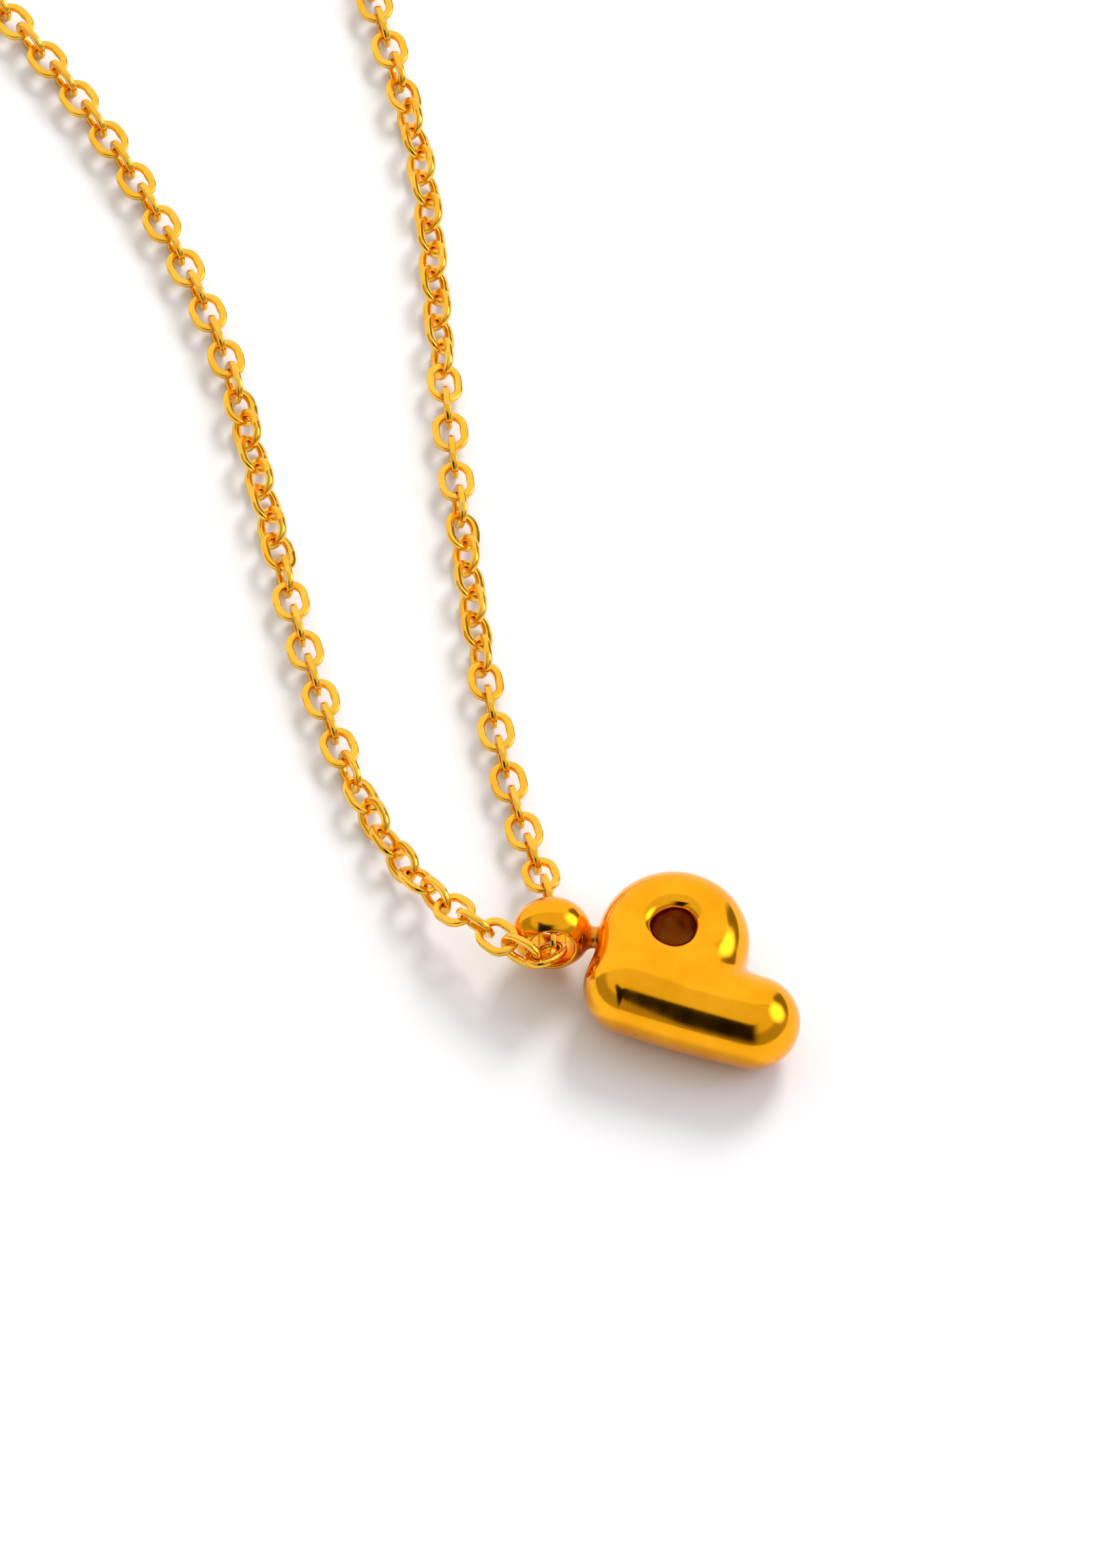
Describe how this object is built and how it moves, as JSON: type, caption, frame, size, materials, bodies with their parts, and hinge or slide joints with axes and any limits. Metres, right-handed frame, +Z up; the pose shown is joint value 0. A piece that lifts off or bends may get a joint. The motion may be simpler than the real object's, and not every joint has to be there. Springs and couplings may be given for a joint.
{
  "type": "pendant necklace",
  "caption": "Fine cable-chain necklace with a puffed letter pendant on a bead bail, a lobster clasp and an extender chain.",
  "frame": {"origin": "middle of the lying necklace's bounding box, on the surface it lies on", "axes": "+Z up from the surface; -Y towards the pendant, +Y towards the clasp; the pendant's letter has its top towards -X"},
  "size_m": [0.0844, 0.1794, 0.0054],
  "materials": {
    "polished_gold": "polished",
    "chain_gold": "polished",
    "findings_gold": "polished",
    "spring_steel": "satin"
  },
  "bodies": {
    "centre": {"centre_chain": "chain_gold"},
    "pendant": {"letter_pendant": "polished_gold", "bail_bead": "polished_gold", "solder_joint": "polished_gold"},
    "left_chain_01": {"left_chain_01": "chain_gold"},
    "left_chain_02": {"left_chain_02": "chain_gold"},
    "left_chain_03": {"left_chain_03": "chain_gold"},
    "left_chain_04": {"left_chain_04": "chain_gold"},
    "left_chain_05": {"left_chain_05": "chain_gold"},
    "left_chain_06": {"left_chain_06": "chain_gold"},
    "left_chain_07": {"left_chain_07": "chain_gold"},
    "left_chain_08": {"left_chain_08": "chain_gold"},
    "left_chain_09": {"left_chain_09": "chain_gold"},
    "left_chain_10": {"left_chain_10": "chain_gold"},
    "left_chain_11": {"left_chain_11": "chain_gold"},
    "left_chain_12": {"left_chain_12": "chain_gold"},
    "left_chain_13": {"left_chain_13": "chain_gold"},
    "left_chain_14": {"left_chain_14": "chain_gold"},
    "left_chain_15": {"left_chain_15": "chain_gold"},
    "left_chain_16": {"left_chain_16": "chain_gold"},
    "left_chain_17": {"left_chain_17": "chain_gold"},
    "left_chain_18": {"left_chain_18": "chain_gold"},
    "right_chain_01": {"right_chain_01": "chain_gold"},
    "right_chain_02": {"right_chain_02": "chain_gold"},
    "right_chain_03": {"right_chain_03": "chain_gold"},
    "right_chain_04": {"right_chain_04": "chain_gold"},
    "right_chain_05": {"right_chain_05": "chain_gold"},
    "right_chain_06": {"right_chain_06": "chain_gold"},
    "right_chain_07": {"right_chain_07": "chain_gold"},
    "right_chain_08": {"right_chain_08": "chain_gold"},
    "right_chain_09": {"right_chain_09": "chain_gold"},
    "right_chain_10": {"right_chain_10": "chain_gold"},
    "right_chain_11": {"right_chain_11": "chain_gold"},
    "right_chain_12": {"right_chain_12": "chain_gold"},
    "right_chain_13": {"right_chain_13": "chain_gold"},
    "right_chain_14": {"right_chain_14": "chain_gold"},
    "right_chain_15": {"right_chain_15": "chain_gold"},
    "right_chain_16": {"right_chain_16": "chain_gold"},
    "right_chain_17": {"right_chain_17": "chain_gold"},
    "right_chain_18": {"right_chain_18": "chain_gold"},
    "left_jump_ring": {"left_jump_ring": "findings_gold"},
    "clasp": {"clasp_body": "findings_gold", "clasp_pin": "spring_steel", "clasp_spring": "spring_steel"},
    "lever": {"clasp_lever": "findings_gold"},
    "right_jump_ring": {"right_jump_ring": "findings_gold"},
    "extender_1": {"extender_1": "findings_gold"},
    "extender_2": {"extender_2": "findings_gold"},
    "extender_3": {"extender_3": "findings_gold"},
    "extender_4": {"extender_4": "findings_gold"},
    "drop_ring": {"drop_ring": "findings_gold"},
    "end_drop": {"end_drop": "findings_gold"}
  },
  "joints": [
    {"name": "pendant_swing", "type": "hinge", "parent": "centre", "child": "pendant", "pos_m": [0.0234, -0.08125, 0.0027], "axis": [0, -0.9613, 0.2756], "range_deg": [-45, 90]},
    {"name": "left_fold_01", "type": "hinge", "parent": "centre", "child": "left_chain_01", "pos_m": [0.01964, -0.08122, 0.00328], "axis": [0.6685, 0.7275, 0.1545], "range_deg": [-35, 35]},
    {"name": "left_fold_02", "type": "hinge", "parent": "left_chain_01", "child": "left_chain_02", "pos_m": [0.01374, -0.07337, 0.00098], "axis": [-0.6744, -0.3155, 0.6675], "range_deg": [-35, 35]},
    {"name": "left_fold_03", "type": "hinge", "parent": "left_chain_02", "child": "left_chain_03", "pos_m": [0.01011, -0.06385, 0.00101], "axis": [-0.9563, -0.2924, 0], "range_deg": [-35, 35]},
    {"name": "left_fold_04", "type": "hinge", "parent": "left_chain_03", "child": "left_chain_04", "pos_m": [0.00766, -0.05395, 0.00101], "axis": [0.8603, 0.1986, -0.4695], "range_deg": [-35, 35]},
    {"name": "left_fold_05", "type": "hinge", "parent": "left_chain_04", "child": "left_chain_05", "pos_m": [0.00536, -0.04401, 0.00101], "axis": [0.8603, 0.1986, -0.4695], "range_deg": [-35, 35]},
    {"name": "left_fold_06", "type": "hinge", "parent": "left_chain_05", "child": "left_chain_06", "pos_m": [0.00186, -0.03445, 0.00101], "axis": [-0.9135, -0.4067, 0], "range_deg": [-35, 35]},
    {"name": "left_fold_07", "type": "hinge", "parent": "left_chain_06", "child": "left_chain_07", "pos_m": [-0.00289, -0.02543, 0.00101], "axis": [-0.8616, -0.5075, 0], "range_deg": [-35, 35]},
    {"name": "left_fold_08", "type": "hinge", "parent": "left_chain_07", "child": "left_chain_08", "pos_m": [-0.00874, -0.01708, 0.00101], "axis": [0.788, 0.6157, 0], "range_deg": [-35, 35]},
    {"name": "left_fold_09", "type": "hinge", "parent": "left_chain_08", "child": "left_chain_09", "pos_m": [-0.01502, -0.00904, 0.00101], "axis": [0.788, 0.6157, 0], "range_deg": [-35, 35]},
    {"name": "left_fold_10", "type": "hinge", "parent": "left_chain_09", "child": "left_chain_10", "pos_m": [-0.0213, -0.00101, 0.00101], "axis": [-0.788, -0.6157, 0], "range_deg": [-35, 35]},
    {"name": "left_fold_11", "type": "hinge", "parent": "left_chain_10", "child": "left_chain_11", "pos_m": [-0.02662, 0.00768, 0.00101], "axis": [-0.8894, -0.4571, 0], "range_deg": [-35, 35]},
    {"name": "left_fold_12", "type": "hinge", "parent": "left_chain_11", "child": "left_chain_12", "pos_m": [-0.03012, 0.01724, 0.00101], "axis": [0.9689, 0.2476, 0], "range_deg": [-35, 35]},
    {"name": "left_fold_13", "type": "hinge", "parent": "left_chain_12", "child": "left_chain_13", "pos_m": [-0.03083, 0.02739, 0.00101], "axis": [0.9989, -0.0465, 0], "range_deg": [-35, 35]},
    {"name": "left_fold_14", "type": "hinge", "parent": "left_chain_13", "child": "left_chain_14", "pos_m": [-0.02852, 0.03728, 0.00101], "axis": [-0.938, 0.3467, 0], "range_deg": [-35, 35]},
    {"name": "left_fold_15", "type": "hinge", "parent": "left_chain_14", "child": "left_chain_15", "pos_m": [-0.02319, 0.04593, 0.00101], "axis": [-0.7756, 0.6313, 0], "range_deg": [-35, 35]},
    {"name": "left_fold_16", "type": "hinge", "parent": "left_chain_15", "child": "left_chain_16", "pos_m": [-0.01534, 0.05238, 0.00101], "axis": [0.5299, -0.848, 0], "range_deg": [-35, 35]},
    {"name": "left_fold_17", "type": "hinge", "parent": "left_chain_16", "child": "left_chain_17", "pos_m": [-0.0062, 0.05688, 0.00101], "axis": [0.3811, -0.9245, 0], "range_deg": [-35, 35]},
    {"name": "left_fold_18", "type": "hinge", "parent": "left_chain_17", "child": "left_chain_18", "pos_m": [0.00354, 0.05985, 0.00135], "axis": [-0.2457, 0.9694, 0], "range_deg": [-35, 35]},
    {"name": "right_fold_01", "type": "hinge", "parent": "centre", "child": "right_chain_01", "pos_m": [0.02252, -0.07585, 0.00137], "axis": [0.9636, 0.2672, 0], "range_deg": [-35, 35]},
    {"name": "right_fold_02", "type": "hinge", "parent": "right_chain_01", "child": "right_chain_02", "pos_m": [0.02007, -0.06598, 0.00102], "axis": [-0.9816, -0.1908, 0], "range_deg": [-35, 35]},
    {"name": "right_fold_03", "type": "hinge", "parent": "right_chain_02", "child": "right_chain_03", "pos_m": [0.01861, -0.05589, 0.00102], "axis": [-0.7606, -0.0915, 0.6428], "range_deg": [-35, 35]},
    {"name": "right_fold_04", "type": "hinge", "parent": "right_chain_03", "child": "right_chain_04", "pos_m": [0.01749, -0.04575, 0.00102], "axis": [0.9945, 0.1045, 0], "range_deg": [-35, 35]},
    {"name": "right_fold_05", "type": "hinge", "parent": "right_chain_04", "child": "right_chain_05", "pos_m": [0.01658, -0.03559, 0.00102], "axis": [0.7049, 0.0555, -0.7071], "range_deg": [-35, 35]},
    {"name": "right_fold_06", "type": "hinge", "parent": "right_chain_05", "child": "right_chain_06", "pos_m": [0.01531, -0.02548, 0.00102], "axis": [-0.6936, -0.1373, 0.7071], "range_deg": [-35, 35]},
    {"name": "right_fold_07", "type": "hinge", "parent": "right_chain_06", "child": "right_chain_07", "pos_m": [0.01273, -0.01562, 0.00102], "axis": [-0.9613, -0.2756, 0], "range_deg": [-35, 35]},
    {"name": "right_fold_08", "type": "hinge", "parent": "right_chain_07", "child": "right_chain_08", "pos_m": [0.01269, -0.00549, 0.00102], "axis": [0.9848, -0.1736, 0], "range_deg": [-35, 35]},
    {"name": "right_fold_09", "type": "hinge", "parent": "right_chain_08", "child": "right_chain_09", "pos_m": [0.01727, 0.00352, 0.00102], "axis": [0.788, -0.6157, 0], "range_deg": [-35, 35]},
    {"name": "right_fold_10", "type": "hinge", "parent": "right_chain_09", "child": "right_chain_10", "pos_m": [0.02362, 0.0115, 0.00102], "axis": [-0.7787, 0.6274, 0], "range_deg": [-35, 35]},
    {"name": "right_fold_11", "type": "hinge", "parent": "right_chain_10", "child": "right_chain_11", "pos_m": [0.03009, 0.01939, 0.00102], "axis": [-0.7692, 0.639, 0], "range_deg": [-35, 35]},
    {"name": "right_fold_12", "type": "hinge", "parent": "right_chain_11", "child": "right_chain_12", "pos_m": [0.03606, 0.02763, 0.00102], "axis": [0.8601, -0.51, 0], "range_deg": [-35, 35]},
    {"name": "right_fold_13", "type": "hinge", "parent": "right_chain_12", "child": "right_chain_13", "pos_m": [0.0399, 0.03706, 0.00102], "axis": [0.958, -0.2868, 0], "range_deg": [-35, 35]},
    {"name": "right_fold_14", "type": "hinge", "parent": "right_chain_13", "child": "right_chain_14", "pos_m": [0.0412, 0.04714, 0.00102], "axis": [-0.9999, 0.0116, 0], "range_deg": [-35, 35]},
    {"name": "right_fold_15", "type": "hinge", "parent": "right_chain_14", "child": "right_chain_15", "pos_m": [0.0395, 0.05717, 0.00102], "axis": [-0.9596, -0.2812, 0], "range_deg": [-35, 35]},
    {"name": "right_fold_16", "type": "hinge", "parent": "right_chain_15", "child": "right_chain_16", "pos_m": [0.03494, 0.06626, 0.00102], "axis": [0.8355, 0.5495, 0], "range_deg": [-35, 35]},
    {"name": "right_fold_17", "type": "hinge", "parent": "right_chain_16", "child": "right_chain_17", "pos_m": [0.02793, 0.07362, 0.00102], "axis": [0.6383, 0.7698, 0], "range_deg": [-35, 35]},
    {"name": "right_fold_18", "type": "hinge", "parent": "right_chain_17", "child": "right_chain_18", "pos_m": [0.01915, 0.07873, 0.00135], "axis": [-0.4154, -0.9096, 0], "range_deg": [-35, 35]},
    {"name": "left_ring_fold", "type": "hinge", "parent": "left_chain_18", "child": "left_jump_ring", "pos_m": [0.01351, 0.06179, 0.00224], "axis": [0.1392, -0.9903, 0], "range_deg": [-60, 60]},
    {"name": "clasp_swing", "type": "hinge", "parent": "left_jump_ring", "child": "clasp", "pos_m": [0.01633, 0.06218, 0.0022], "axis": [0, 0, 1], "range_deg": [-40, 40]},
    {"name": "lever_press", "type": "hinge", "parent": "clasp", "child": "lever", "pos_m": [0.01961, 0.06304, 0.00217], "axis": [-0.0697, -0.0024, -0.9976], "range_deg": [0, 20], "stiffness_Nm_per_rad": 0.0002, "springref_deg": -5.73},
    {"name": "right_ring_fold", "type": "hinge", "parent": "right_chain_18", "child": "right_jump_ring", "pos_m": [0.0094, 0.08152, 0.00224], "axis": [0.1392, 0.9903, 0], "range_deg": [-60, 60]},
    {"name": "extender_swing", "type": "hinge", "parent": "right_jump_ring", "child": "extender_1", "pos_m": [0.00657, 0.0819, 0.0022], "axis": [0, 0, 1], "range_deg": [-40, 40]},
    {"name": "extender_fold_2", "type": "hinge", "parent": "extender_1", "child": "extender_2", "pos_m": [-0.00139, 0.08573, 0.00189], "axis": [0.3746, 0.9272, 0], "range_deg": [-40, 40]},
    {"name": "extender_fold_3", "type": "hinge", "parent": "extender_2", "child": "extender_3", "pos_m": [-0.01292, 0.08808, 0.00171], "axis": [-0.1014, -0.9948, 0], "range_deg": [-40, 40]},
    {"name": "extender_fold_4", "type": "hinge", "parent": "extender_3", "child": "extender_4", "pos_m": [-0.02464, 0.08703, 0.00171], "axis": [-0.1892, 0.9819, 0], "range_deg": [-40, 40]},
    {"name": "drop_ring_fold", "type": "hinge", "parent": "extender_4", "child": "drop_ring", "pos_m": [-0.03556, 0.08266, 0.00171], "axis": [-0.4639, 0.8859, 0], "range_deg": [-60, 60]},
    {"name": "drop_swing", "type": "hinge", "parent": "drop_ring", "child": "end_drop", "pos_m": [-0.0372, 0.08159, 0.00171], "axis": [0, 0, 1], "range_deg": [-60, 60]}
  ]
}
